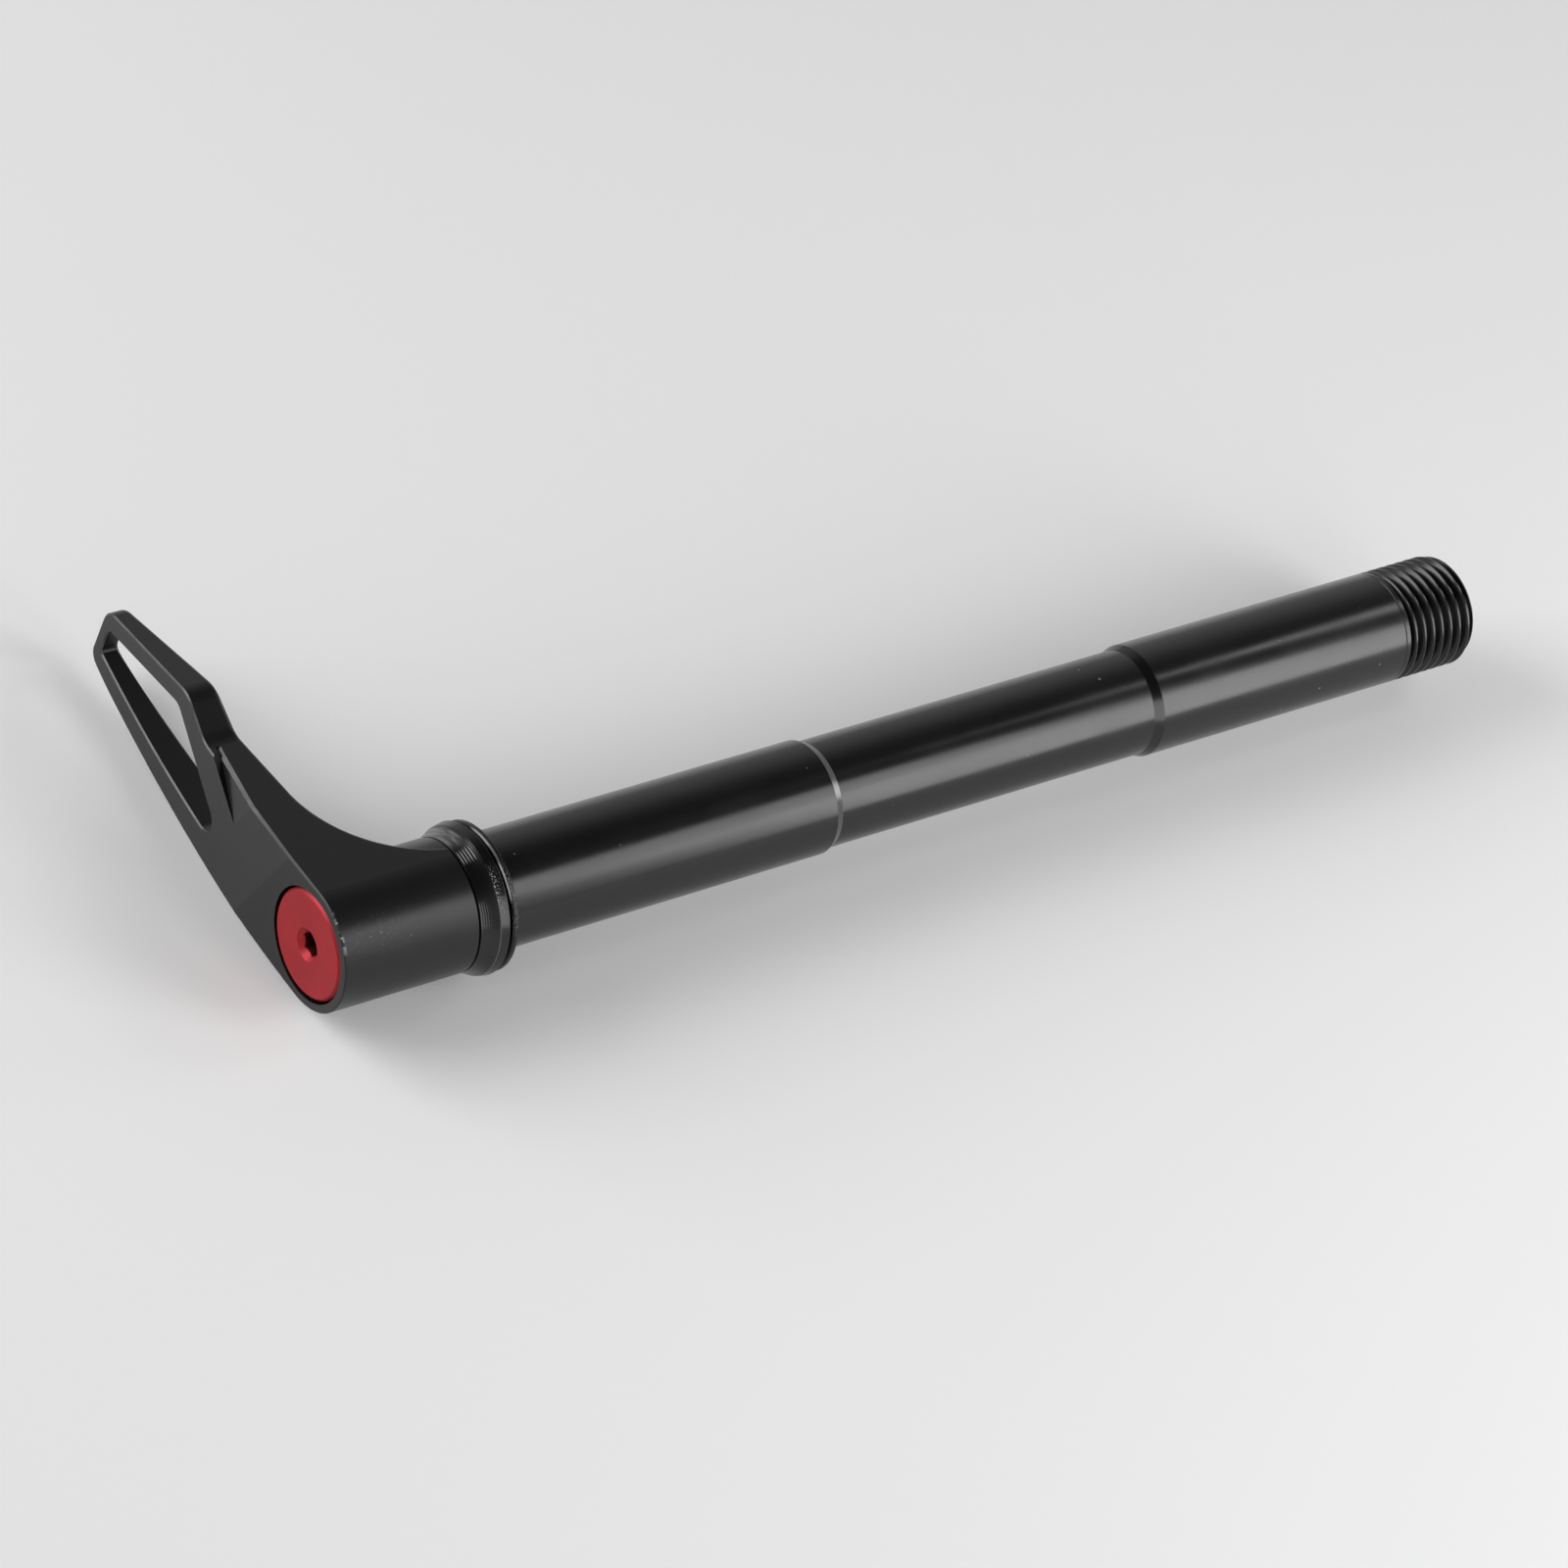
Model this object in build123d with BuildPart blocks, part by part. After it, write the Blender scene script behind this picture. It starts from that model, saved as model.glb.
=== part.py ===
"""Thru axle for a bicycle fork, with a lever that lifts off its spline to be set at another angle."""
import os
from math import atan2, cos, degrees, pi, radians, sin, tan

from build123d import *

# Millimetres. X runs along the axle from the lever to the thread, Y along the lever's arm and Z up.
# The origin is on the axle's line, where the land that carries the wheel hub begins.

# Axle, from the head to the threaded tip
land_diameter = 14.95
relief_diameter = 14.0
thread_diameter = 14.96
bore_diameter = 9.0
first_land_length = 50.0
relief_length = 50.8
lead_in_length = 1.3
second_land_length = 42.0
thread_length = 11.5
runout_width = 0.9
runout_diameter = 13.2
tip_chamfer = 0.9
land_chamfer = 0.25
bore_depth = 153.0
bore_chamfer = 0.6
drill_point_angle = 118.0

# Flared head and the captive washer in front of it
collar_diameter = 19.6
collar_band_length = 1.4
band_diameter = 19.1
collar_edge = 0.25
flare_length = 2.25
flare_hollow = 0.12
neck_diameter = 14.5
washer_diameter = 19.2
washer_thickness = 0.85
washer_gap = 0.45
washer_edge = 0.2
washer_bore_edge = 0.3
running_clearance = 0.05

# Splined spigot inside the lever's hub
spline_teeth = 24
spline_tip_diameter = 13.5
spline_root_diameter = 12.3
spline_length = 4.2
spline_root_share = 0.72
spline_crest_share = 0.28
spline_allowance = 0.08
spigot_diameter = 11.9
spigot_chamfer = 0.3
spigot_stop_gap = 0.05
lift_clearance = 0.3

# Lever hub
hub_diameter = 17.2
hub_length = 19.2
hub_gap = 0.3
hub_web = 2.0
cap_gap = 0.3

# Lever arm, seen along the axle: reach along Y, height along Z
under_heading = -6.5
arm_top_heading = -7.4
lever_reach = 55.2
tip_drop = 6.6
tip_height = 8.8
tip_lean = 0.4
knee_reach = 35.3
knee_height = 7.55
notch_setback = 6.0
tip_low_radius = 2.0
tip_high_radius = 2.6
knee_radius = 4.0
notch_radius = 4.0

# Window between the struts
window_floor = -5.92
window_floor_reach = 31.0
window_floor_radius = 155.0
tip_wall = 1.6
upper_strut = 2.7
inner_strut = 3.8
inner_strut_turn = 5.2
window_root_radius = 1.85
window_knee_radius = 2.0
window_tip_radius = 0.7
window_back_break = 0.4

# Lever arm, seen from above: depth along X behind the hub's front face
back_depth_tip = 4.0
back_depth_root = 6.25
back_round = 0.6
sweep_reach = 18.0
sweep_root = 2.5
face_lean = 2.2
fold_reach = 9.9
fold_turn = 20.0
facet_lean = 7.0
facet_reach = 18.4
facet_turn = 4.2
facet_step = 1.3
edge_break = 0.2
notch_break = 0.45

# Cap bolt, spring and slip washer
cap_diameter = 14.3
cap_thickness = 2.6
cap_edge = 0.4
socket_across_flats = 3.0
socket_depth = 3.6
socket_mouth_diameter = 4.5
shoulder_diameter = 8.0
bolt_thread_diameter = 6.0
bolt_thread_length = 8.0
bolt_thread_gap = 0.05
bolt_end_chamfer = 0.6
spring_diameter = 11.0
spring_wire = 0.8
spring_wire_width = 1.2
spring_turns = 3.0
spring_spare = 0.1
spring_seat_gap = 0.05
slip_washer_diameter = 14.0
slip_washer_thickness = 0.6
slip_washer_gap = 0.3

# Room for the spring: the lever lifts clear of its spline before the coils close
lever_lift = spline_length + lift_clearance
spring_length = lever_lift + spring_turns * spring_wire + spring_spare

# Places along X that several pieces share
washer_back = -washer_thickness
collar_face = washer_back - washer_gap
flare_end = collar_face - collar_band_length
flare_start = flare_end - flare_length
hub_end = flare_start - hub_gap
hub_front = hub_end - hub_length
cap_under = hub_front + cap_thickness
spring_end = cap_under + spring_length
web_front = spring_end + slip_washer_thickness
web_back = web_front + hub_web
spigot_front = web_back + spigot_stop_gap
spline_start = hub_end - spline_length
relief_start = first_land_length
lead_in_start = relief_start + relief_length
second_land_start = lead_in_start + lead_in_length
thread_start = second_land_start + second_land_length
tip = thread_start + thread_length
bore_start = tip - bore_depth

hub_radius = hub_diameter / 2
counterbore_radius = cap_diameter / 2 + cap_gap
beyond = lever_reach / 2


def meet(first, first_heading, second, second_heading):
    """Where two straight lines cross, each given by a point and a heading in degrees."""
    first_way = Vector(cos(radians(first_heading)), sin(radians(first_heading)))
    second_way = Vector(cos(radians(second_heading)), sin(radians(second_heading)))
    apart = Vector(*second) - Vector(*first)
    turn = first_way.X * second_way.Y - first_way.Y * second_way.X
    along = (apart.X * second_way.Y - apart.Y * second_way.X) / turn
    crossing = Vector(*first) + first_way * along
    return (crossing.X, crossing.Y)


def heading_between(first, second):
    """Heading in degrees from one point to another."""
    return degrees(atan2(second[1] - first[1], second[0] - first[0]))


def set_in(point, heading, distance):
    """A point moved square to a heading, to its right."""
    return (point[0] + distance * sin(radians(heading)), point[1] - distance * cos(radians(heading)))


def spline_outline(allowance):
    """Corners of the spline's outline, grown by an allowance on every flank and land."""
    root = spline_root_diameter / 2 + allowance
    crest = spline_tip_diameter / 2 + allowance
    pitch = 2 * pi / spline_teeth
    corners = []
    for tooth in range(spline_teeth):
        middle = tooth * pitch
        root_half = pitch * spline_root_share / 2 + allowance / root
        crest_half = pitch * spline_crest_share / 2 + allowance / crest
        for radius, angle in (
            (root, middle - root_half),
            (crest, middle - crest_half),
            (crest, middle + crest_half),
            (root, middle + root_half),
        ):
            corners.append((radius * cos(angle), radius * sin(angle)))
    return corners


def front_depth(point):
    """Depth of the arm's front face behind the hub's front, beside a point of the outline's top edge."""
    reach = point[0] * cos(radians(fold_turn)) + point[1] * sin(radians(fold_turn))
    lean_slope = tan(radians(face_lean))
    facet_slope = tan(radians(face_lean + facet_lean))
    return max(reach - fold_reach, 0) * lean_slope + max(reach - facet_reach, 0) * (facet_slope - lean_slope)


def is_rim(edge):
    """Whether a front edge of the lever is an outside rim, not a fold or part of the step."""
    middle = edge.position_at(0.5)
    reach = fold_plane.to_local_coords(middle).Y
    on_step = abs(step_plane.to_local_coords(middle).Z) < edge_break
    return abs(reach - fold_reach) > edge_break and abs(reach - facet_reach) > edge_break and not on_step


os.makedirs("parts", exist_ok=True)

# The axle is turned from one bar: spigot, flared head, neck, lands, relief and thread
with BuildPart() as axle_shaft:
    with BuildSketch(Plane.XY):
        with BuildLine():
            flare_foot = (flare_start, hub_diameter / 2)
            flare_top = (flare_end, band_diameter / 2)
            SagittaArc(flare_foot, flare_top, -flare_hollow)
            Polyline(
                flare_top,
                (collar_face - collar_edge, collar_diameter / 2),
                (collar_face, collar_diameter / 2 - collar_edge),
                (collar_face, neck_diameter / 2),
                (0, neck_diameter / 2),
                (0, land_diameter / 2),
                (relief_start - land_chamfer, land_diameter / 2),
                (relief_start, relief_diameter / 2),
                (lead_in_start, relief_diameter / 2),
                (second_land_start, land_diameter / 2),
                (thread_start - land_chamfer, land_diameter / 2),
                (thread_start, runout_diameter / 2),
                (thread_start + runout_width, runout_diameter / 2),
                (thread_start + runout_width, thread_diameter / 2),
                (tip - tip_chamfer, thread_diameter / 2),
                (tip, thread_diameter / 2 - tip_chamfer),
                (tip, 0),
                (spigot_front, 0),
                (spigot_front, spigot_diameter / 2 - spigot_chamfer),
                (spigot_front + spigot_chamfer, spigot_diameter / 2),
                (flare_start, spigot_diameter / 2),
                flare_foot,
            )
        make_face()
    revolve(axis=Axis.X)
    with BuildSketch(Plane.YZ.offset(spline_start)):
        with BuildLine():
            Polyline(*spline_outline(0), close=True)
        make_face()
    extrude(amount=flare_start - spline_start)
    tapped_radius = bolt_thread_diameter / 2
    drill_point = (bore_diameter / 2 - tapped_radius) / tan(radians(drill_point_angle / 2))
    with BuildSketch(Plane.XY):
        with BuildLine():
            Polyline(
                (spigot_front, 0),
                (spigot_front, tapped_radius),
                (bore_start - drill_point, tapped_radius),
                (bore_start, bore_diameter / 2),
                (tip - bore_chamfer, bore_diameter / 2),
                (tip, bore_diameter / 2 + bore_chamfer),
                (tip, 0),
                close=True,
            )
        make_face()
    revolve(axis=Axis.X, mode=Mode.SUBTRACT)
axle_shaft.part.label = "axle_shaft"
export_step(axle_shaft.part, "parts/axle_shaft.step")

# The washer is captive: its bore is smaller than the land and turns on the neck
with BuildPart() as thrust_washer:
    with BuildSketch(Plane.YZ.offset(washer_back)):
        Circle(washer_diameter / 2)
        Circle(neck_diameter / 2 + running_clearance, mode=Mode.SUBTRACT)
    extrude(amount=washer_thickness)
    outer_rims = thrust_washer.edges().filter_by(GeomType.CIRCLE).sort_by(SortBy.RADIUS)[-2:]
    bore_rims = thrust_washer.edges().filter_by(GeomType.CIRCLE).sort_by(SortBy.RADIUS)[:2]
    chamfer(outer_rims, length=washer_edge)
    chamfer(bore_rims.sort_by(Axis.X)[-1], length=washer_bore_edge)
thrust_washer.part.label = "thrust_washer"
export_step(thrust_washer.part, "parts/thrust_washer.step")

# Corners of the lever's outline, looking along the axle with the arm to the right
under_way = (cos(radians(under_heading)), sin(radians(under_heading)))
under_root = set_in((0, 0), under_heading, hub_radius)
top_root = set_in((0, 0), arm_top_heading, -hub_radius)
tip_low = (lever_reach, -tip_drop)
tip_high = (lever_reach - tip_lean, tip_height - tip_drop)
knee = (knee_reach, knee_height)
notch_reach = knee_reach - notch_setback
notch = (notch_reach, top_root[1] + (notch_reach - top_root[0]) * tan(radians(arm_top_heading)))
upper_heading = heading_between(knee, tip_high)
strut_heading = heading_between(notch, knee)
tip_heading = heading_between(tip_high, tip_low)

# The window's edges are set in from the outline by the widths of the struts
window_top_heading = strut_heading + inner_strut_turn
upper_line = set_in(knee, upper_heading, upper_strut)
inner_line = set_in(notch, strut_heading, inner_strut)
tip_line = set_in(tip_low, tip_heading, tip_wall)
window_knee = meet(inner_line, window_top_heading, upper_line, upper_heading)
window_tip = meet(upper_line, upper_heading, tip_line, tip_heading)
window_end_low = meet(tip_line, tip_heading, (0, -beyond), 0)
window_root_low = meet(inner_line, window_top_heading, (0, -beyond), 0)

# The arm's front face folds back along a line that leans, and the recessed facet falls away from it
fold_side = Vector(0, -sin(radians(fold_turn)), cos(radians(fold_turn)))
fold_plane = Plane(origin=(hub_front, 0, 0), x_dir=(1, 0, 0), z_dir=fold_side)
fold_far = lever_reach + beyond
lean_slope = tan(radians(face_lean))
arm_face_plane = Plane(
    origin=(hub_front - fold_reach * lean_slope, 0, 0),
    x_dir=(lean_slope * cos(radians(fold_turn)), 1, 0),
    z_dir=(1, -lean_slope * cos(radians(fold_turn)), -lean_slope * sin(radians(fold_turn))),
)
facet_face = (facet_reach - fold_reach) * tan(radians(face_lean))
facet_heading = strut_heading + facet_turn
step_point = set_in(notch, facet_heading, -facet_step)
step_side = Vector(0, -sin(radians(facet_heading)), cos(radians(facet_heading)))
step_plane = Plane(origin=(hub_front, *step_point), z_dir=step_side)

# The recessed facet beside the inner strut: a wedge that deepens from nothing towards the notch
with BuildPart() as facet_cut:
    with BuildSketch(fold_plane):
        with BuildLine():
            Polyline(
                (facet_face, facet_reach),
                (facet_face + (fold_far - facet_reach) * tan(radians(face_lean + facet_lean)), fold_far),
                (-hub_web, fold_far),
                (-hub_web, facet_reach),
                close=True,
            )
        make_face()
    extrude(amount=lever_reach, both=True)
    split(bisect_by=step_plane, keep=Keep.TOP)

# The bevel along the arm's top edge widens from the hub to the notch
with BuildPart() as bevel_cut:
    top_way = (0, cos(radians(arm_top_heading)), sin(radians(arm_top_heading)))
    fold_point = set_in((0, 0), fold_turn + 90, fold_reach)
    facet_point = set_in((0, 0), fold_turn + 90, facet_reach)
    fold_corner = meet(top_root, arm_top_heading, fold_point, fold_turn + 90)
    facet_corner = meet(top_root, arm_top_heading, facet_point, fold_turn + 90)
    notch_back = notch_radius * tan(radians(strut_heading - arm_top_heading) / 2)
    notch_start = (notch[0] - notch_back * top_way[1], notch[1] - notch_back * top_way[2])
    for corner in (top_root, fold_corner, facet_corner, notch_start):
        share = (corner[0] - top_root[0]) / (notch_start[0] - top_root[0])
        leg = edge_break + share * (notch_break - edge_break)
        corner_origin = (hub_front + front_depth(corner), *corner)
        with BuildSketch(Plane(origin=corner_origin, x_dir=(1, 0, 0), z_dir=top_way)):
            with BuildLine():
                Polyline(
                    (leg + edge_break, -edge_break),
                    (-edge_break, leg + edge_break),
                    (-edge_break, -edge_break),
                    close=True,
                )
            make_face()
    loft(ruled=True)

# The lever is one forging: the arm is cut to depth first, then the hub is added and bored
with BuildPart() as lever:
    with BuildSketch(Plane.YZ.offset(hub_front)) as arm_outline:
        with BuildLine():
            TangentArc(under_root, tip_low, tangent=under_way)
            Polyline(tip_low, tip_high, knee, notch, top_root, under_root)
        make_face()
        fillet(arm_outline.vertices().sort_by_distance(notch)[0], notch_radius)
        fillet(arm_outline.vertices().sort_by_distance(knee)[0], knee_radius)
        fillet(arm_outline.vertices().sort_by_distance(tip_high)[0], tip_high_radius)
        fillet(arm_outline.vertices().sort_by_distance(tip_low)[0], tip_low_radius)
    extrude(amount=hub_length)

    # Back of the arm, swept up to the hub's end
    with BuildSketch(Plane.XY):
        back_tip = (hub_front + back_depth_tip, lever_reach)
        back_root = (hub_front + back_depth_root, sweep_reach)
        back_far = (back_tip[0], lever_reach + beyond)
        with BuildLine():
            Line(back_far, back_tip)
            Line(back_tip, back_root)
            TangentArc(
                back_root,
                (hub_end, sweep_root),
                tangent=(back_root[0] - back_tip[0], back_root[1] - back_tip[1]),
            )
            Polyline(
                (hub_end, sweep_root),
                (hub_end + hub_gap, sweep_root),
                (hub_end + hub_gap, lever_reach + beyond),
                back_far,
            )
        make_face()
    extrude(amount=hub_diameter, both=True, mode=Mode.SUBTRACT)

    # Front of the arm, folded back from a line beside the hub
    with BuildSketch(fold_plane):
        with BuildLine():
            Polyline(
                (0, fold_reach),
                ((fold_far - fold_reach) * tan(radians(face_lean)), fold_far),
                (-hub_web, fold_far),
                (-hub_web, fold_reach),
                close=True,
            )
        make_face()
    extrude(amount=lever_reach, both=True, mode=Mode.SUBTRACT)
    add(facet_cut.part, mode=Mode.SUBTRACT)

    # Back edges are rounded for the fingers
    back_faces = lever.faces().filter_by(lambda face: face.normal_at().X > sin(radians(fold_turn)))
    back_faces = back_faces.filter_by(lambda face: face.center().Y > sweep_root)
    fillet(back_faces.edges().filter_by(Axis.Z, reverse=True), radius=back_round)

    # Window between the struts, with a bowed floor
    with BuildSketch(arm_face_plane) as window:
        with BuildLine():
            Polyline(window_root_low, window_knee, window_tip, window_end_low, close=True)
        make_face()
        with Locations((window_floor_reach, window_floor + window_floor_radius)):
            Circle(window_floor_radius, mode=Mode.INTERSECT)
        root_corner = window.vertices().sort_by(Axis.X)[0]
        fillet(root_corner, window_root_radius)
        fillet(window.vertices().sort_by_distance(window_knee)[0], window_knee_radius)
        fillet(window.vertices().sort_by_distance(window_tip)[0], window_tip_radius)
        fillet(window.vertices().sort_by_distance((window_tip[0], -tip_drop))[0], window_tip_radius)
    extrude(amount=hub_length, both=True, mode=Mode.SUBTRACT)
    arm_back = lever.faces().filter_by(lambda face: face.normal_at().X > sin(radians(fold_turn)))
    arm_back = arm_back.filter_by(lambda face: face.center().Y > sweep_reach).sort_by(SortBy.AREA)[-1]
    chamfer(arm_back.inner_wires()[0].edges(), length=window_back_break)

    with BuildSketch(Plane.YZ.offset(hub_front)):
        Circle(hub_radius)
    extrude(amount=hub_length)

    # Front edges are broken all round, leaving out the folds and the foot of the step
    front_faces = lever.faces().filter_by(lambda face: face.normal_at().X < -cos(radians(fold_turn)))
    chamfer(front_faces.edges().filter_by(is_rim), length=edge_break)
    add(bevel_cut.part, mode=Mode.SUBTRACT)

    # Bores: the cap's counterbore, the hole for the bolt's shoulder, and the spline with room behind it
    with BuildSketch(Plane.YZ.offset(hub_front)):
        Circle(counterbore_radius)
    extrude(amount=web_front - hub_front, mode=Mode.SUBTRACT)
    with BuildSketch(Plane.YZ.offset(web_front)):
        Circle(shoulder_diameter / 2 + running_clearance)
    extrude(amount=hub_web, mode=Mode.SUBTRACT)
    with BuildSketch(Plane.YZ.offset(web_back)):
        Circle(spline_tip_diameter / 2 + 2 * spline_allowance)
    extrude(amount=spline_start - web_back, mode=Mode.SUBTRACT)
    with BuildSketch(Plane.YZ.offset(spline_start)):
        with BuildLine():
            Polyline(*spline_outline(spline_allowance), close=True)
        make_face()
    extrude(amount=spline_length, mode=Mode.SUBTRACT)
lever.part.label = "lever"
export_step(lever.part, "parts/lever.step")

# Shoulder bolt: flat head flush with the hub, a shoulder that guides the lever, and its thread
with BuildPart() as cap_bolt:
    bolt_end = spigot_front + bolt_thread_length
    bolt_radius = bolt_thread_diameter / 2 - bolt_thread_gap
    with BuildSketch(Plane.XY):
        with BuildLine():
            Polyline(
                (hub_front, 0),
                (hub_front, cap_diameter / 2 - cap_edge),
                (hub_front + cap_edge, cap_diameter / 2),
                (cap_under, cap_diameter / 2),
                (cap_under, shoulder_diameter / 2),
                (spigot_front, shoulder_diameter / 2),
                (spigot_front, bolt_radius),
                (bolt_end - bolt_end_chamfer, bolt_radius),
                (bolt_end, bolt_radius - bolt_end_chamfer),
                (bolt_end, 0),
                close=True,
            )
        make_face()
    revolve(axis=Axis.X)
    with BuildSketch(Plane.YZ.offset(hub_front)):
        RegularPolygon(socket_across_flats / 2, side_count=6, major_radius=False)
    extrude(amount=socket_depth, mode=Mode.SUBTRACT)
    mouth_depth = (socket_mouth_diameter - socket_across_flats) / 2
    with BuildSketch(Plane.XY):
        with BuildLine():
            Polyline(
                (hub_front, 0),
                (hub_front, socket_mouth_diameter / 2),
                (hub_front + mouth_depth, socket_across_flats / 2),
                (hub_front + mouth_depth, 0),
                close=True,
            )
        make_face()
    revolve(axis=Axis.X, mode=Mode.SUBTRACT)
cap_bolt.part.label = "cap_bolt"
export_step(cap_bolt.part, "parts/cap_bolt.step")

# Coil spring of flat wire with ground ends, between the bolt's head and the slip washer
with BuildPart() as lever_spring:
    coil_start = cap_under + spring_seat_gap
    coil_length = spring_length - 2 * spring_seat_gap
    with BuildLine() as coil:
        Helix(
            pitch=coil_length / spring_turns,
            height=coil_length,
            radius=spring_diameter / 2,
            center=(coil_start, 0, 0),
            direction=(1, 0, 0),
        )
    outward = (coil.line @ 0) - Vector(coil_start, 0, 0)
    with BuildSketch(Plane(origin=coil.line @ 0, x_dir=outward, z_dir=coil.line % 0)):
        Rectangle(spring_wire_width, spring_wire)
    sweep(is_frenet=True)
    with BuildSketch(Plane.YZ.offset(coil_start)):
        Circle(spring_diameter)
    extrude(amount=coil_length, mode=Mode.INTERSECT)
lever_spring.part.label = "lever_spring"
export_step(lever_spring.part, "parts/lever_spring.step")

# Slip washer that the spring bears on, so that the lever turns under it
with BuildPart() as spring_washer:
    with BuildSketch(Plane.YZ.offset(spring_end)):
        Circle(slip_washer_diameter / 2)
        Circle(shoulder_diameter / 2 + slip_washer_gap, mode=Mode.SUBTRACT)
    extrude(amount=slip_washer_thickness)
spring_washer.part.label = "spring_washer"
export_step(spring_washer.part, "parts/spring_washer.step")
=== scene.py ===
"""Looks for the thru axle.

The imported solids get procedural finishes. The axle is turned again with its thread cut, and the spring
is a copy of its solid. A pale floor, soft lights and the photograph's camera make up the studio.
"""
import math

import bmesh
import bpy
from mathutils import Matrix, Vector


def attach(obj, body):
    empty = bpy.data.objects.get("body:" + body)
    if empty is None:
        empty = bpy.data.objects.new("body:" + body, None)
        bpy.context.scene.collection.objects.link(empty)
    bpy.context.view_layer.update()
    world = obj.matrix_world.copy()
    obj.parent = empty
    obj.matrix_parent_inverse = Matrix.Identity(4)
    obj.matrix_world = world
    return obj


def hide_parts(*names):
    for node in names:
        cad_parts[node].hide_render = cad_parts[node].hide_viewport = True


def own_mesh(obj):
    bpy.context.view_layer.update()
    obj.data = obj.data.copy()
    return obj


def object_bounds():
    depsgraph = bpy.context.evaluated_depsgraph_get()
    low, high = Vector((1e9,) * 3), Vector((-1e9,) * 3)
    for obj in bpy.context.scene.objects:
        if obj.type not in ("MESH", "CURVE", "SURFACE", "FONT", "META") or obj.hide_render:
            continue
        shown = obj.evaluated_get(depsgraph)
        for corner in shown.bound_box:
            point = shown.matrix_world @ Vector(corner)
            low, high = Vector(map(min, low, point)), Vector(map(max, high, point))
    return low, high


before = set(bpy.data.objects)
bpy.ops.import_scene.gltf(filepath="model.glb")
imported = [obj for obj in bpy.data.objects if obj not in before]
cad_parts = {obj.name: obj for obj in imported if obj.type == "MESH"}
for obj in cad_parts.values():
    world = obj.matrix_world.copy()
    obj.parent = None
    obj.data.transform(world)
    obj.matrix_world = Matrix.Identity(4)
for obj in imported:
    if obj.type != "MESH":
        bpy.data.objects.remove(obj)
cad_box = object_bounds()

MM = 0.001

# Sizes of the axle in millimetres. The form is the solid's, apart from the rings on the flare, the cone that
# ends the first land, and a fine groove, a smaller chamfer and the thread at the end of the second land.
SPIGOT_FRONT = -12.2
SPIGOT_RADIUS = 5.95
SPIGOT_CHAMFER = 0.3
SPLINE_START = -9.45
SPLINE_TEETH = 24
SPLINE_ROOT = 6.15
SPLINE_TOP = 6.75
FLARE_START = -4.95
FLARE_END = -2.7
FLARE_INSIDE = 7.2
FLARE_RADIUS = 8.6
FLARE_GROWTH = 0.95
FLARE_HOLLOW = 0.48
COLLAR_FACE = -1.3
COLLAR_RADIUS = 9.8
COLLAR_CHAMFER = 0.25
NECK_RADIUS = 7.25
LAND_RADIUS = 7.475
FIRST_LAND_END = 49.6
RELIEF_START = 50.7
RELIEF_RADIUS = 7.0
LEAD_IN_START = 100.8
SECOND_LAND_START = 102.1
GROOVE_BACK = 0.82
GROOVE_HALF = 0.08
GROOVE_DEPTH = 0.1
LAND_END = 144.1
LAND_CHAMFER = 0.12
TIP = 155.6
TIP_CHAMFER = 0.9
TAPPED_RADIUS = 3.0
BORE_RADIUS = 4.5
BORE_START = 2.6
BORE_CONE = 0.9
BORE_CHAMFER = 0.6

# The rings that the turning tool leaves on the flare
TOOL_RINGS = 8
STEPS_PER_RING = 6
RING_HEIGHT = 0.011

# A tooth of the spline, as shares of the distance from one tooth to the next
TOOTH_HALF_TOP = 0.14
TOOTH_FLANK = 0.22

# The thread: one pitch is a root, a flank, a crest and a flank
THREAD_RADIUS = 7.48
THREAD_ROOT_RADIUS = 6.62
THREAD_DEPTH = THREAD_RADIUS - THREAD_ROOT_RADIUS
THREAD_PITCH = 1.5
THREAD_PHASE = 0.38
THREAD_FLANK_DEGREES = 30
THREAD_FLANK = THREAD_DEPTH * math.tan(math.radians(THREAD_FLANK_DEGREES))
THREAD_CREST = 0.2
THREAD_ROOT = THREAD_PITCH - THREAD_CREST - 2 * THREAD_FLANK
CREST_START = THREAD_ROOT + THREAD_FLANK
CREST_END = CREST_START + THREAD_CREST

# How finely the axle is drawn: points round a ring, and the small arcs on its edges
AROUND = 192
TURN_SHARES = [step / AROUND for step in range(AROUND + 1)]
EDGE_RADIUS = 0.05
ARC_SHARES = (0.0, 0.25, 0.5, 0.75, 1.0)
ARC_LEAST_DEGREES = 18
ARC_LIMIT = 0.4
FLAT_BESIDE_ARC = 0.03
FLAT_LIMIT = 0.48
SHARP_DEGREES = 35
WELD_METRES = 1e-7

# The middle values of a noise, which its spread runs over
NOISE_LOW = 0.3
NOISE_HIGH = 0.7

# The lever's arm starts where its front face folds, 9.9 mm out and turned by this angle
FOLD = math.radians(20)

# The lights face this point, and three of them face the same way
LIGHT_AIM = (0.07, 0, 0)
KEY_ACROSS = (0.743, 0.669, 0.0)
KEY_UP = (-0.293, 0.326, 0.899)
BACK_ACROSS = (-0.643, -0.766, 0.0)
BACK_UP = (0.324, -0.272, 0.906)

FLOOR_HALF = 4.0
FLOOR_COLOUR = (0.9, 0.9, 0.9, 1)
FLOOR_GLOW = 0.03


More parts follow.
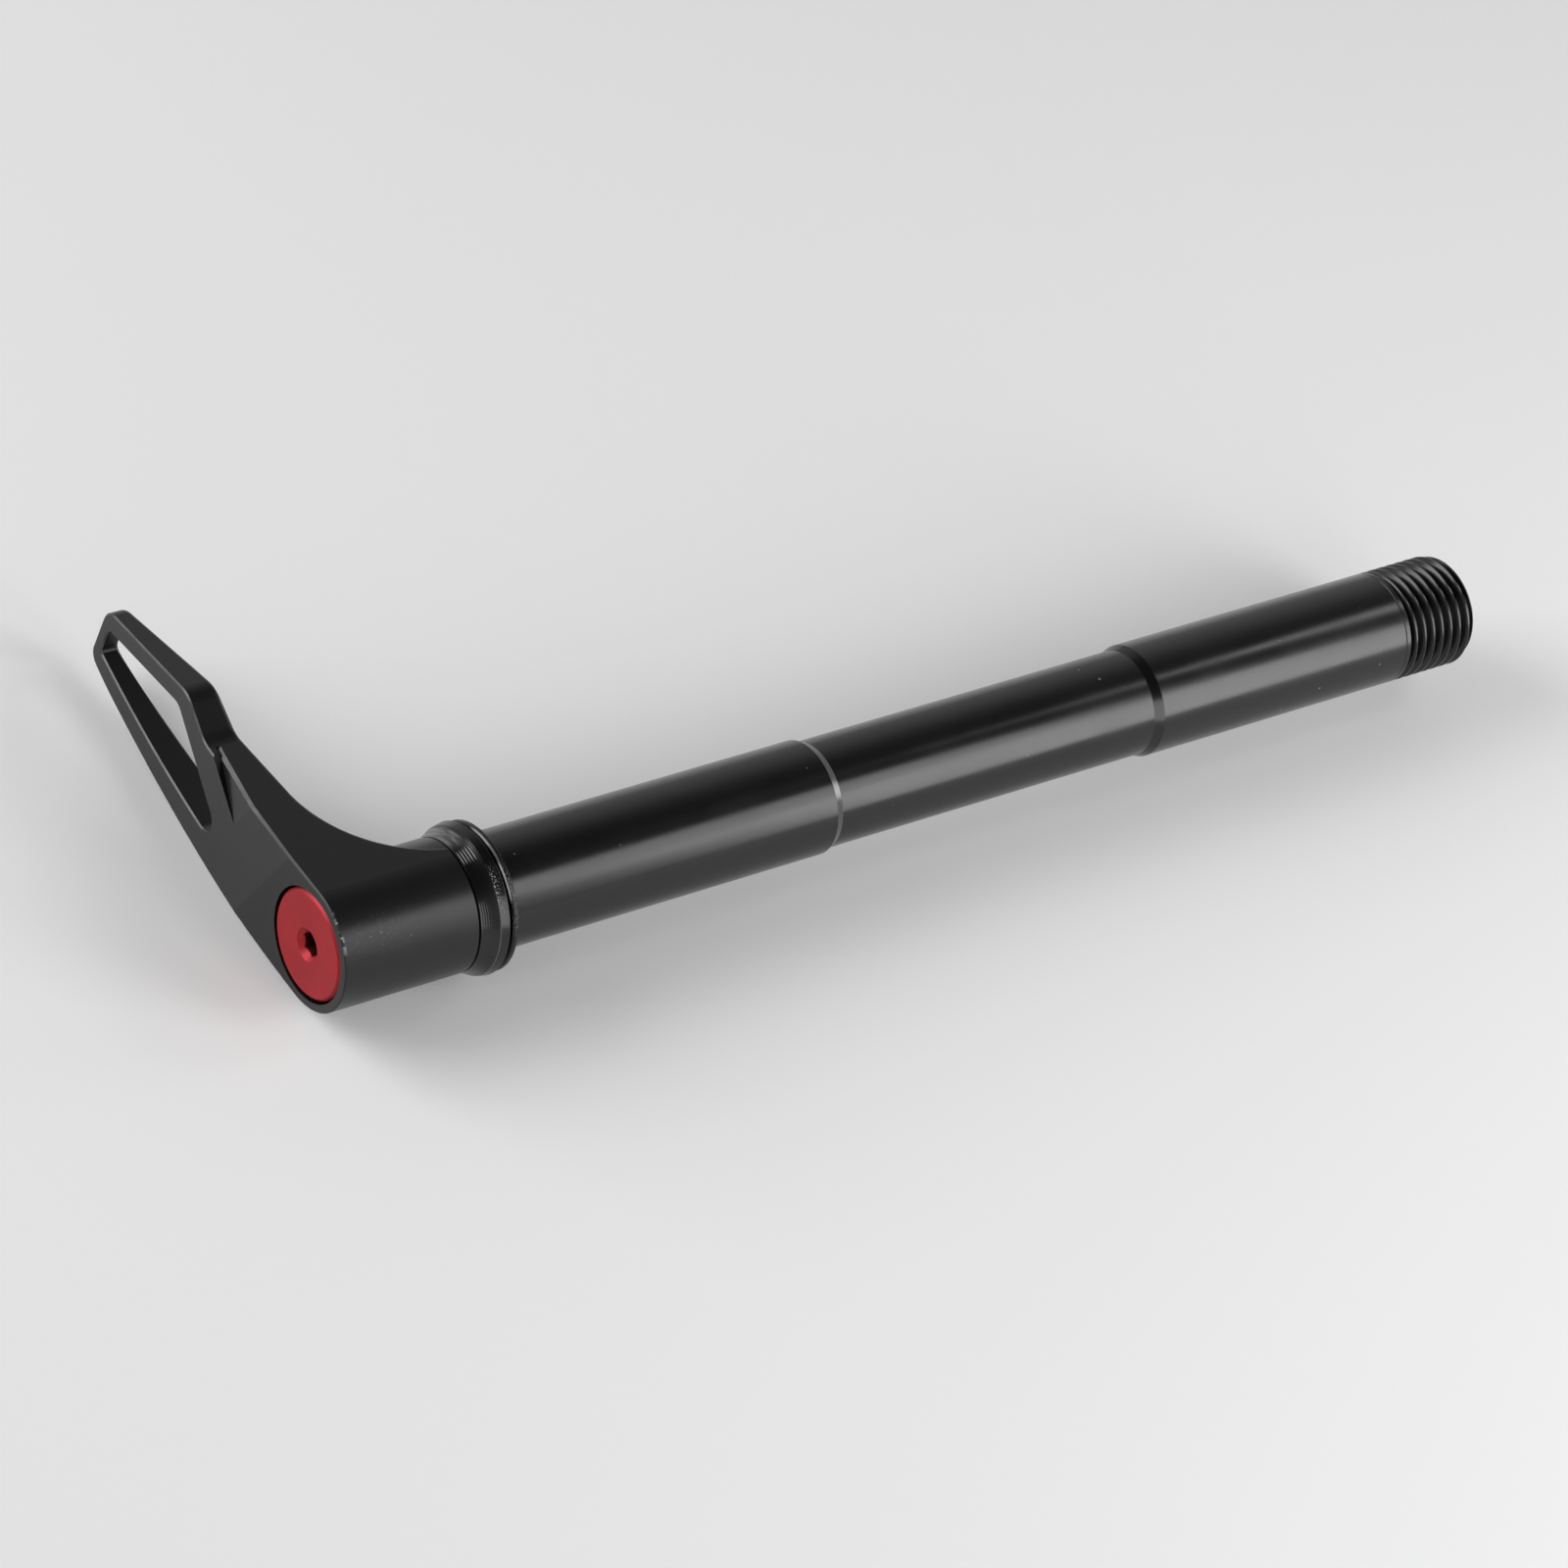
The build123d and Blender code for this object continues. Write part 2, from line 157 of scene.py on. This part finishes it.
def rounded(points):
    """The profile with every corner turned into a small arc, so that edges catch the light."""
    path = [points[0]]
    for before, corner, after in zip(points, points[1:], points[2:]):
        a, b, c = (Vector(p) for p in (before, corner, after))
        to_a = (a - b).normalized()
        to_c = (c - b).normalized()
        turn = math.pi - to_a.angle(to_c)
        if turn < math.radians(ARC_LEAST_DEGREES):
            path.append(corner)
            continue
        shorter = min((a - b).length, (c - b).length)
        back = min(EDGE_RADIUS * math.tan(turn / 2), shorter * ARC_LIMIT)
        flat = min(back + FLAT_BESIDE_ARC, shorter * FLAT_LIMIT)
        path.append(tuple(b + to_a * flat))
        for share in ARC_SHARES:
            start = (b + to_a * back) * (1 - share) ** 2
            middle = b * 2 * share * (1 - share)
            end = (b + to_c * back) * share ** 2
            path.append(tuple(start + middle + end))
        path.append(tuple(b + to_c * flat))
    path.append(points[-1])
    return path


def flare_profile():
    """The hollow cone behind the hub, with the rings that the turning tool leaves."""
    steps = STEPS_PER_RING * TOOL_RINGS
    points = []
    for step in range(steps + 1):
        share = step / steps
        x = FLARE_START + (FLARE_END - FLARE_START) * share
        radius = FLARE_RADIUS + FLARE_GROWTH * share - FLARE_HOLLOW * share * (1 - share)
        fade = math.sin(math.pi * share) ** 0.5
        ripple = RING_HEIGHT * math.sin(2 * math.pi * TOOL_RINGS * share) * fade
        points.append((x, radius + ripple))
    return points


def ring_point(x, radius, share):
    """A point in metres, from millimetres along and out from the axle's line and a share of a turn."""
    angle = 2 * math.pi * share
    return (x * MM, radius * math.cos(angle) * MM, radius * math.sin(angle) * MM)


def turned(profile):
    """Rings of a profile of (x, radius) turned about the axle."""
    return [[ring_point(x, radius, share) for share in TURN_SHARES] for x, radius in profile]


def spline_rings():
    """Rings of the spline's outline, from the spigot over the end of its teeth to the flare."""
    rings = turned([(SPLINE_START, SPIGOT_RADIUS)])
    for x in (SPLINE_START, FLARE_START):
        ring = []
        for share in TURN_SHARES:
            from_middle = abs((share * SPLINE_TEETH + 0.5) % 1.0 - 0.5)
            down_flank = min(max((from_middle - TOOTH_HALF_TOP) / TOOTH_FLANK, 0.0), 1.0)
            radius = SPLINE_TOP - (SPLINE_TOP - SPLINE_ROOT) * down_flank
            ring.append(ring_point(x, radius, share))
        rings.append(ring)
    return rings


def thread_radius(along):
    """Radius of the thread's form at a distance past the start of a root."""
    place = along % THREAD_PITCH
    if place < THREAD_ROOT:
        return THREAD_ROOT_RADIUS
    if place < CREST_START:
        return THREAD_ROOT_RADIUS + (place - THREAD_ROOT) / THREAD_FLANK * THREAD_DEPTH
    if place < CREST_END:
        return THREAD_RADIUS
    return THREAD_RADIUS - (place - CREST_END) / THREAD_FLANK * THREAD_DEPTH


def thread_rings():
    """Rings that follow the right-hand helix, so that crests and roots keep clean edges."""
    stops = (
        0,
        THREAD_ROOT / 2,
        THREAD_ROOT,
        THREAD_ROOT + THREAD_FLANK / 2,
        CREST_START,
        CREST_END,
        CREST_END + THREAD_FLANK / 2,
    )
    # The helix runs on past both ends of the thread, and its points there are held at the ends
    turns = range(-2, int((TIP - LAND_END) / THREAD_PITCH) + 3)
    rings = []
    for turn in turns:
        for stop in stops:
            ring = []
            for share in TURN_SHARES:
                lead = LAND_END + (share - THREAD_PHASE) * THREAD_PITCH
                x = min(max(lead + turn * THREAD_PITCH + stop, LAND_END), TIP)
                chamfer = THREAD_RADIUS - TIP_CHAMFER + (TIP - x)
                ring.append(ring_point(x, min(thread_radius(x - lead), chamfer), share))
            rings.append(ring)
    return rings


def skin(name, rings):
    """A smooth-shaded object from rings of points, welded where they meet, with its steep edges sharp."""
    vertices = [point for ring in rings for point in ring]
    count = len(rings[0])
    faces = []
    for row in range(len(rings) - 1):
        for column in range(count - 1):
            first = row * count + column
            faces.append((first, first + 1, first + 1 + count, first + count))
    mesh = bpy.data.meshes.new(name)
    mesh.from_pydata(vertices, [], faces)
    welded = bmesh.new()
    welded.from_mesh(mesh)
    bmesh.ops.remove_doubles(welded, verts=welded.verts, dist=WELD_METRES)
    bmesh.ops.recalc_face_normals(welded, faces=welded.faces)
    welded.to_mesh(mesh)
    welded.free()
    mesh.shade_smooth()
    mesh.set_sharp_from_angle(angle=math.radians(SHARP_DEGREES))
    made = bpy.data.objects.new(name, mesh)
    bpy.context.scene.collection.objects.link(made)
    return made


def build_axle():
    """The axle with its thread cut, in place of the plain solid."""
    spigot = [
        (SPIGOT_FRONT, TAPPED_RADIUS),
        (SPIGOT_FRONT, SPIGOT_RADIUS - SPIGOT_CHAMFER),
        (SPIGOT_FRONT + SPIGOT_CHAMFER, SPIGOT_RADIUS),
        (SPLINE_START, SPIGOT_RADIUS),
    ]
    groove = LAND_END - GROOVE_BACK
    outside = [
        (FLARE_START, FLARE_INSIDE),
        *flare_profile(),
        (COLLAR_FACE - COLLAR_CHAMFER, COLLAR_RADIUS),
        (COLLAR_FACE, COLLAR_RADIUS - COLLAR_CHAMFER),
        (COLLAR_FACE, NECK_RADIUS),
        (0, NECK_RADIUS),
        (0, LAND_RADIUS),
        (FIRST_LAND_END, LAND_RADIUS),
        (RELIEF_START, RELIEF_RADIUS),
        (LEAD_IN_START, RELIEF_RADIUS),
        (SECOND_LAND_START, LAND_RADIUS),
        (groove - GROOVE_HALF, LAND_RADIUS),
        (groove, LAND_RADIUS - GROOVE_DEPTH),
        (groove + GROOVE_HALF, LAND_RADIUS),
        (LAND_END - LAND_CHAMFER, LAND_RADIUS),
        (LAND_END, LAND_RADIUS - LAND_CHAMFER),
    ]
    inside = [
        (TIP, THREAD_RADIUS - TIP_CHAMFER),
        (TIP, BORE_RADIUS + BORE_CHAMFER),
        (TIP - BORE_CHAMFER, BORE_RADIUS),
        (BORE_START, BORE_RADIUS),
        (BORE_START - BORE_CONE, TAPPED_RADIUS),
        (SPIGOT_FRONT, TAPPED_RADIUS),
    ]
    rings = turned(rounded(spigot)) + spline_rings() + turned(rounded(outside))
    rings += thread_rings() + turned(rounded(inside))
    return skin("axle_turned", rings)


class Nodes:
    """A node tree, with short calls for making, joining and reckoning."""

    def __init__(self, owner):
        owner.use_nodes = True
        self.tree = owner.node_tree
        self.tree.nodes.clear()

    def node(self, kind, **settings):
        made = self.tree.nodes.new(kind)
        for key, value in settings.items():
            setattr(made, key, value)
        return made

    def join(self, source, target):
        self.tree.links.new(source, target)

    def feed(self, socket, value):
        """Joins another node's socket, or sets a plain value."""
        if isinstance(value, bpy.types.NodeSocket):
            self.join(value, socket)
        else:
            socket.default_value = value

    def reckon(self, operation, *values):
        made = self.node("ShaderNodeMath", operation=operation)
        for socket, value in zip(made.inputs, values):
            self.feed(socket, value)
        return made.outputs[0]

    def times(self, *values):
        found = values[0]
        for value in values[1:]:
            found = self.reckon("MULTIPLY", found, value)
        return found

    def most(self, *values):
        found = values[0]
        for value in values[1:]:
            found = self.reckon("MAXIMUM", found, value)
        return found

    def ramp(self, value, low, high, start=0.0, end=1.0):
        """A smooth step from start, at low, to end, at high."""
        made = self.node("ShaderNodeMapRange", interpolation_type="SMOOTHSTEP")
        for socket, number in zip(made.inputs, (value, low, high, start, end)):
            self.feed(socket, number)
        return made.outputs[0]


class Paint(Nodes):
    """A material: x, y and z in metres, and turn, the angle round the axle from its top to its near side."""

    def __init__(self, name):
        self.material = bpy.data.materials.new(name)
        super().__init__(self.material)
        self.shader = self.node("ShaderNodeBsdfPrincipled")
        output = self.node("ShaderNodeOutputMaterial")
        self.join(self.shader.outputs["BSDF"], output.inputs["Surface"])
        coordinates = self.node("ShaderNodeTexCoord")
        self.place = coordinates.outputs["Object"]
        split = self.node("ShaderNodeSeparateXYZ")
        self.join(self.place, split.inputs[0])
        self.x, self.y, self.z = split.outputs
        self.turn = self.reckon("ARCTAN2", self.times(self.y, -1.0), self.z)

    def radius(self):
        """Distance from the axle's line."""
        return self.reckon("SQRT", self.reckon("ADD", self.times(self.y, self.y), self.times(self.z, self.z)))

    def band(self, value, low, high, soft):
        """One between two limits and none outside them."""
        rise = self.ramp(value, low - soft, low + soft)
        fall = self.ramp(value, high - soft, high + soft, start=1.0, end=0.0)
        return self.times(rise, fall)

    def noise(self, scale=1.0, detail=3.0, vector=None):
        made = self.node("ShaderNodeTexNoise")
        self.join(vector or self.place, made.inputs["Vector"])
        self.feed(made.inputs["Scale"], scale)
        self.feed(made.inputs["Detail"], detail)
        return made.outputs["Fac"]

    def spread(self, noise, start=0.0, end=1.0):
        """A noise's middle values, spread from start to end."""
        return self.ramp(noise, NOISE_LOW, NOISE_HIGH, start, end)

    def stretched(self, along, around):
        """Coordinates with x and the angle about the axle scaled apart."""
        made = self.node("ShaderNodeCombineXYZ")
        self.feed(made.inputs["X"], self.times(self.x, along))
        self.feed(made.inputs["Y"], self.times(self.turn, around))
        return made.outputs[0]

    def turning_lines(self):
        """The fine lines that turning leaves round the axle."""
        return self.noise(detail=2.0, vector=self.stretched(along=5200.0, around=0.4))

    def flecks(self, scale, size, share, soft=0.04):
        """Small spots scattered in cells: their size within a cell, and the share of cells that hold one."""
        made = self.node("ShaderNodeTexVoronoi")
        self.join(self.place, made.inputs["Vector"])
        self.feed(made.inputs["Scale"], scale)
        pick = self.node("ShaderNodeSeparateColor")
        self.join(made.outputs["Color"], pick.inputs[0])
        chosen = self.reckon("LESS_THAN", pick.outputs[0], share)
        reach = self.times(pick.outputs[1], size)
        outside = self.reckon("SUBTRACT", made.outputs["Distance"], reach)
        spot = self.ramp(outside, -soft, soft, start=1.0, end=0.0)
        return self.times(spot, chosen)

    def blend(self, share, first, second):
        """A mix of two colours, whose sockets come after those for numbers and vectors."""
        made = self.node("ShaderNodeMix", data_type="RGBA")
        self.feed(made.inputs["Factor"], share)
        self.feed(made.inputs[6], first)
        self.feed(made.inputs[7], second)
        return made.outputs[2]

    def bump(self, height, distance):
        made = self.node("ShaderNodeBump")
        self.feed(made.inputs["Distance"], distance)
        self.join(height, made.inputs["Height"])
        self.join(made.outputs["Normal"], self.shader.inputs["Normal"])

    def set(self, **values):
        """Sets or joins the shader's own sockets."""
        for key, value in values.items():
            self.feed(self.shader.inputs[key.replace("_", " ")], value)


def axle_finish():
    """Black anodised bar stock: satin, turned, with a scuffed collar, a scraped flare with painted reflection
    and ring highlights, and a bare cone after the first land.
    """
    paint = Paint("axle_black")
    black = (0.0035, 0.0035, 0.0038, 1)
    bare = (0.30, 0.30, 0.31, 1)
    speck_strength = 0.5
    dull_strength = 0.02
    lip_strength = 0.22
    ring_highlight_strength = 0.95
    cone_strength = 0.14
    ring_pitch = 0.00037
    specks = paint.times(paint.flecks(scale=700.0, size=0.13, share=0.14), speck_strength)

    # The collar's band is rubbed dull on one side and chipped along its edge
    collar = paint.band(paint.x, low=-0.00274, high=-0.00165, soft=0.00005)
    rubbed = paint.times(collar, paint.band(paint.turn, low=0.3, high=0.94, soft=0.12))
    chips = paint.ramp(paint.noise(scale=5200.0, detail=2.0), low=0.55, high=0.61)
    edge = paint.ramp(paint.x, low=-0.0026, high=-0.0018, start=1.0, end=0.12)
    lip_line = paint.band(paint.x, low=-0.00276, high=-0.00262, soft=0.00004)
    lip_side = paint.band(paint.turn, low=0.5, high=2.0, soft=0.2)
    lip = paint.times(lip_line, lip_side, lip_strength)
    scuffs = paint.most(paint.times(rubbed, dull_strength), paint.times(rubbed, chips, edge), lip)

    # The flare is scraped at the top, with a painted reflection on the scraped patch, and beside that the
    # tool's rings carry painted highlights
    flare = paint.band(paint.x, low=-0.0049, high=-0.0031, soft=0.0002)
    smear = paint.noise(vector=paint.stretched(along=1800.0, around=2.5))
    streaks = paint.ramp(smear, low=0.35, high=0.65, start=0.12, end=0.46)
    scrape_and_painted_sheen = paint.times(flare, paint.band(paint.turn, low=-1.1, high=-0.28, soft=0.12), streaks)
    wave = paint.reckon("SINE", paint.times(paint.x, 2 * math.pi / ring_pitch))
    ring_highlight_side = paint.band(paint.turn, low=-0.11, high=0.09, soft=0.05)
    # Painted highlights on the tool's rings, on one side of the flare only
    rings = paint.times(paint.ramp(wave, low=0.1, high=0.9), flare, ring_highlight_side, ring_highlight_strength)

    # The cone after the first land is bare
    cone = paint.times(paint.band(paint.x, low=0.04962, high=0.05066, soft=0.00004), cone_strength)
    # Wear and specks, together with the painted reflection and highlights on the flare
    pale = paint.most(scuffs, specks, scrape_and_painted_sheen, rings, cone)
    satin = paint.spread(paint.noise(scale=90.0), start=0.19, end=0.24)
    worn_roughness = paint.times(pale, 0.25)
    paint.set(
        Base_Color=paint.blend(pale, black, bare),
        Roughness=paint.reckon("ADD", satin, worn_roughness),
        Specular_IOR_Level=0.5,
    )
    paint.bump(paint.turning_lines(), distance=0.0000012)
    return paint.material


def lever_finish():
    """Blasted and black anodised forging: rubbed edges with a painted highlight, pale nicks on the hub, a
    chipped front rim and painted light on the arm's front face.
    """
    paint = Paint("lever_black")
    hub_black = (0.005, 0.005, 0.0053, 1)
    arm_front_painted_light = (0.012, 0.012, 0.0133, 1)
    bare = (0.32, 0.32, 0.33, 1)
    nick_strength = 0.4
    chip_strength = 0.7
    geometry = paint.node("ShaderNodeNewGeometry")
    lean = paint.node("ShaderNodeSeparateXYZ")
    paint.join(geometry.outputs["True Normal"], lean.inputs[0])
    facing = lean.outputs[0]

    # Painted light and shade: past the fold the arm's front face is painted greyer than the hub, whose face
    # mirrors shaded floor
    reach = paint.reckon("ADD", paint.times(paint.y, math.cos(FOLD)), paint.times(paint.z, math.sin(FOLD)))
    past_fold = paint.ramp(reach, low=0.0098, high=0.0101)
    front_face = paint.ramp(facing, low=-0.96, high=-0.9, start=1.0, end=0.0)
    black = paint.blend(paint.times(past_fold, front_face), hub_black, arm_front_painted_light)

    # The bevel along the edges is rubbed and painted paler, partly a painted highlight, more so towards the
    # tip, and rougher towards the hub
    bevel = paint.band(facing, low=-0.86, high=-0.55, soft=0.03)
    along = paint.ramp(reach, low=0.006, high=0.03, start=0.2, end=1.0)
    rub_and_painted_highlight = paint.spread(paint.noise(scale=350.0, detail=4.0), start=0.05, end=0.22)
    rubbed = paint.times(bevel, rub_and_painted_highlight, along)
    bevel_roughness = paint.times(bevel, paint.ramp(reach, low=0.006, high=0.03, start=0.2, end=0.0))

    # The hub's near side has nicks and smears
    near_side = paint.band(paint.turn, low=0.5, high=0.95, soft=0.2)
    worn = paint.times(near_side, paint.band(paint.x, low=-0.0235, high=-0.0145, soft=0.0015))
    smear = paint.ramp(paint.noise(scale=1800.0), low=0.48, high=0.72, start=0.0, end=0.05)
    nicks = paint.times(paint.flecks(scale=2000.0, size=0.28, share=0.3), nick_strength)
    marks = paint.times(paint.most(nicks, smear), worn)

    # The rim at the hub's front is chipped
    front = paint.ramp(paint.x, low=-0.0242, high=-0.0239, start=1.0, end=0.0)
    rim = paint.times(front, paint.ramp(paint.radius(), low=0.00838, high=0.00846))
    rim_side = paint.band(paint.turn, low=0.3, high=0.85, soft=0.12)
    patches = paint.noise(detail=2.0, vector=paint.stretched(along=900.0, around=9.0))
    chips = paint.times(rim, rim_side, paint.ramp(patches, low=0.5, high=0.58), chip_strength)

    satin = paint.spread(paint.noise(scale=60.0, detail=4.0), start=0.28, end=0.34)
    paint.set(
        Base_Color=paint.blend(paint.most(marks, chips, rubbed), black, bare),
        Roughness=paint.reckon("ADD", satin, bevel_roughness),
        Specular_IOR_Level=0.42,
    )
    paint.bump(paint.noise(scale=9000.0, detail=2.0), distance=0.000004)
    return paint.material


def washer_finish():
    """Black anodised washer with a chipped rim and a painted highlight along its edge beside the collar."""
    paint = Paint("washer_black")
    black = (0.007, 0.007, 0.0075, 1)
    bare = (0.8, 0.8, 0.81, 1)
    near_strength = 0.19
    least_strength = 0.022
    highlight_top_strength = 0.36
    rim = paint.ramp(paint.radius(), low=0.0091, high=0.0094)
    chips = paint.ramp(paint.noise(scale=5200.0), low=0.54, high=0.62)
    near_side = paint.times(paint.band(paint.turn, low=0.4, high=1.2, soft=0.25), near_strength)
    worn = paint.times(chips, paint.reckon("ADD", near_side, least_strength))
    # Painted highlight: a pale line along the washer's edge beside the collar, at the top and on the near
    # side
    highlight_top = paint.times(paint.band(paint.turn, low=-0.42, high=-0.02, soft=0.08), highlight_top_strength)
    highlight_side = paint.band(paint.turn, low=0.28, high=0.76, soft=0.08)
    highlight_line = paint.band(paint.x, low=-0.0009, high=-0.00074, soft=0.00003)
    edge = paint.times(highlight_line, paint.most(highlight_top, highlight_side))
    paint.set(
        Base_Color=paint.blend(paint.times(rim, paint.most(worn, edge)), black, bare),
        Roughness=paint.spread(paint.noise(scale=300.0), start=0.26, end=0.34),
        Specular_IOR_Level=0.3,
    )
    paint.bump(paint.turning_lines(), distance=0.000002)
    return paint.material


def cap_finish():
    """Red anodised cap: dyed metal with faint turning rings and painted shade darkening its socket."""
    paint = Paint("cap_red")
    deep_red = (0.325, 0.010, 0.017, 1)
    light_red = (0.37, 0.012, 0.020, 1)
    socket_painted_shade = (0.05, 0.003, 0.004, 1)
    rings_per_metre = 9000.0
    from_axis = paint.radius()
    rings = paint.node("ShaderNodeCombineXYZ")
    paint.feed(rings.inputs["X"], paint.times(from_axis, rings_per_metre))
    turning = paint.noise(detail=2.0, vector=rings.outputs[0])
    # Painted shade: the inside of the socket is painted dark red
    behind_face = paint.ramp(paint.x, low=-0.0241, high=-0.0232)
    near_axis = paint.ramp(from_axis, low=0.0019, high=0.0022, start=1.0, end=0.0)
    cloud = paint.spread(paint.noise(scale=260.0, detail=4.0))
    red = paint.blend(cloud, deep_red, light_red)
    paint.set(
        Base_Color=paint.blend(paint.times(behind_face, near_axis), red, socket_painted_shade),
        Metallic=0.4,
        Roughness=paint.spread(turning, start=0.44, end=0.52),
        Specular_IOR_Level=0.4,
    )
    paint.bump(turning, distance=0.0000015)
    return paint.material


def steel_finish(name, colour, roughness):
    """Drawn or ground steel of the pieces inside the hub."""
    paint = Paint(name)
    dark_share = 0.8
    roughness_change = 0.04
    dark = (*(part * dark_share for part in colour), 1)
    lines = paint.noise(vector=paint.stretched(along=9000.0, around=3.0))
    paint.set(
        Base_Color=paint.blend(lines, (*colour, 1), dark),
        Metallic=1.0,
        Roughness=paint.spread(lines, roughness - roughness_change, roughness + roughness_change),
    )
    paint.bump(lines, distance=0.000002)
    return paint.material


def dress(name, material):
    """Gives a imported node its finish."""
    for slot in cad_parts[name].material_slots:
        slot.link = "OBJECT"
        slot.material = material


def soft_box(name, corner, size, across, up, level):
    """A rectangular soft light from its lower corner and its two sides, of a radiance where one is white."""
    light = bpy.data.lights.new(name, "AREA")
    light.shape = "RECTANGLE"
    light.size, light.size_y = size
    light.energy = level * math.pi * size[0] * size[1]
    across = Vector(across).normalized()
    up = Vector(up)
    up = (up - across * up.dot(across)).normalized()
    middle = Vector(corner) + across * size[0] / 2 + up * size[1] / 2

    # A lamp shines along its own -Z, so its Z axis points away from the object
    away = across.cross(up)
    if away.dot(Vector(LIGHT_AIM) - middle) > 0:
        across = -across
        away = -away
    lamp = bpy.data.objects.new(name, light)
    lamp.matrix_world = Matrix.Translation(middle) @ Matrix((across, up, away)).transposed().to_4x4()
    lamp.visible_camera = False
    bpy.context.scene.collection.objects.link(lamp)


def build_floor(height):
    """A flat pale floor that keeps the object's shadow."""
    mesh = bpy.data.meshes.new("floor")
    corners = [(-1, -1), (1, -1), (1, 1), (-1, 1)]
    mesh.from_pydata([(FLOOR_HALF * x, FLOOR_HALF * y, height) for x, y in corners], [], [(0, 1, 2, 3)])
    floor = bpy.data.objects.new("floor", mesh)
    bpy.context.scene.collection.objects.link(floor)

    # A small share of its white is there without light, as the camera and reflections see it
    material = bpy.data.materials.new("floor_white")
    nodes = Nodes(material)
    path = nodes.node("ShaderNodeLightPath").outputs
    seen = nodes.most(path["Is Camera Ray"], path["Is Glossy Ray"], path["Is Transmission Ray"])
    lit = nodes.node("ShaderNodeBsdfDiffuse")
    nodes.feed(lit.inputs["Color"], FLOOR_COLOUR)
    glow = nodes.node("ShaderNodeEmission")
    nodes.feed(glow.inputs["Strength"], 1.0)
    mix = nodes.node("ShaderNodeMixShader")
    nodes.feed(mix.inputs[0], nodes.times(seen, FLOOR_GLOW))
    nodes.join(lit.outputs[0], mix.inputs[1])
    nodes.join(glow.outputs[0], mix.inputs[2])
    output = nodes.node("ShaderNodeOutputMaterial")
    nodes.join(mix.outputs[0], output.inputs["Surface"])
    mesh.materials.append(material)


def build_world():
    """A pale horizon under a darker ceiling."""
    world = bpy.data.worlds.new("studio")
    bpy.context.scene.world = world
    nodes = Nodes(world)
    coordinates = nodes.node("ShaderNodeTexCoord")
    split = nodes.node("ShaderNodeSeparateXYZ")
    nodes.join(coordinates.outputs["Generated"], split.inputs[0])
    fade = nodes.ramp(split.outputs["Z"], low=0.4, high=0.92, start=0.64, end=0.05)
    back = nodes.node("ShaderNodeBackground")
    nodes.feed(back.inputs["Strength"], fade)
    output = nodes.node("ShaderNodeOutputWorld")
    nodes.join(back.outputs[0], output.inputs["Surface"])


def build_camera():
    """The camera at the photograph's place, solved from the shaft's edges and steps."""
    place = Vector((-0.42753, -0.40750, 0.62630))
    right = Vector((0.80925, -0.51923, 0.27480))
    down = Vector((-0.23946, -0.71870, -0.65278))
    forward = Vector((0.53644, 0.46246, -0.70594))
    data = bpy.data.cameras.new("camera")
    data.lens = 161.26
    data.sensor_width = 36
    data.clip_start = 0.01
    camera = bpy.data.objects.new("camera", data)
    turn = Matrix((right, -down, -forward)).transposed().to_4x4()
    camera.matrix_world = Matrix.Translation(place) @ turn
    bpy.context.scene.collection.objects.link(camera)
    bpy.context.scene.camera = camera


axle = build_axle()
axle.data.materials.append(axle_finish())
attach(axle, "axle")
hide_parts("axle_shaft")

# The spring is 7.0 mm long at rest and 2.5 mm with the lever lifted; here a plain copy of its solid rides
# with the axle
coil = bpy.data.objects.new("spring_coil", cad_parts["lever_spring"].data.copy())
bpy.context.scene.collection.objects.link(coil)
coil.data.materials.clear()
coil.data.materials.append(steel_finish("spring_steel", colour=(0.42, 0.42, 0.43), roughness=0.3))
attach(coil, "axle")
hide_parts("lever_spring")
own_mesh(coil)

dress("lever", lever_finish())
dress("cap_bolt", cap_finish())
dress("thrust_washer", washer_finish())
dress("spring_washer", steel_finish("washer_steel", colour=(0.5, 0.5, 0.51), roughness=0.35))

visual_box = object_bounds()
build_floor(min(cad_box[0][2], visual_box[0][2]))
build_world()
build_camera()
soft_box("key_low", (0.3519, -0.4777, 0.0259), (0.21, 0.29), KEY_ACROSS, KEY_UP, level=4.9)
soft_box("key_high", (0.2708, -0.3899, 0.2866), (0.19, 0.19), KEY_ACROSS, KEY_UP, level=3.6)
soft_box("front", (0.03, -0.5, 0.02), (0.1, 0.34), (1.0, 0.0, 0.0), (0.0, 0.44, 0.9), level=3.4)
soft_box("end", (1.5, -0.4, 0.0), (0.4, 0.33), (0.0, 1.0, 0.0), (0.0, 0.0, 1.0), level=7.2)
soft_box("side", (0.5124, -0.1179, 0.3541), (0.15, 0.19), KEY_ACROSS, KEY_UP, level=3.8)
soft_box("back", (-0.5005, 0.7447, 0.0945), (0.6, 0.6), BACK_ACROSS, BACK_UP, level=5.0)

bpy.context.scene.view_settings.view_transform = "Standard"
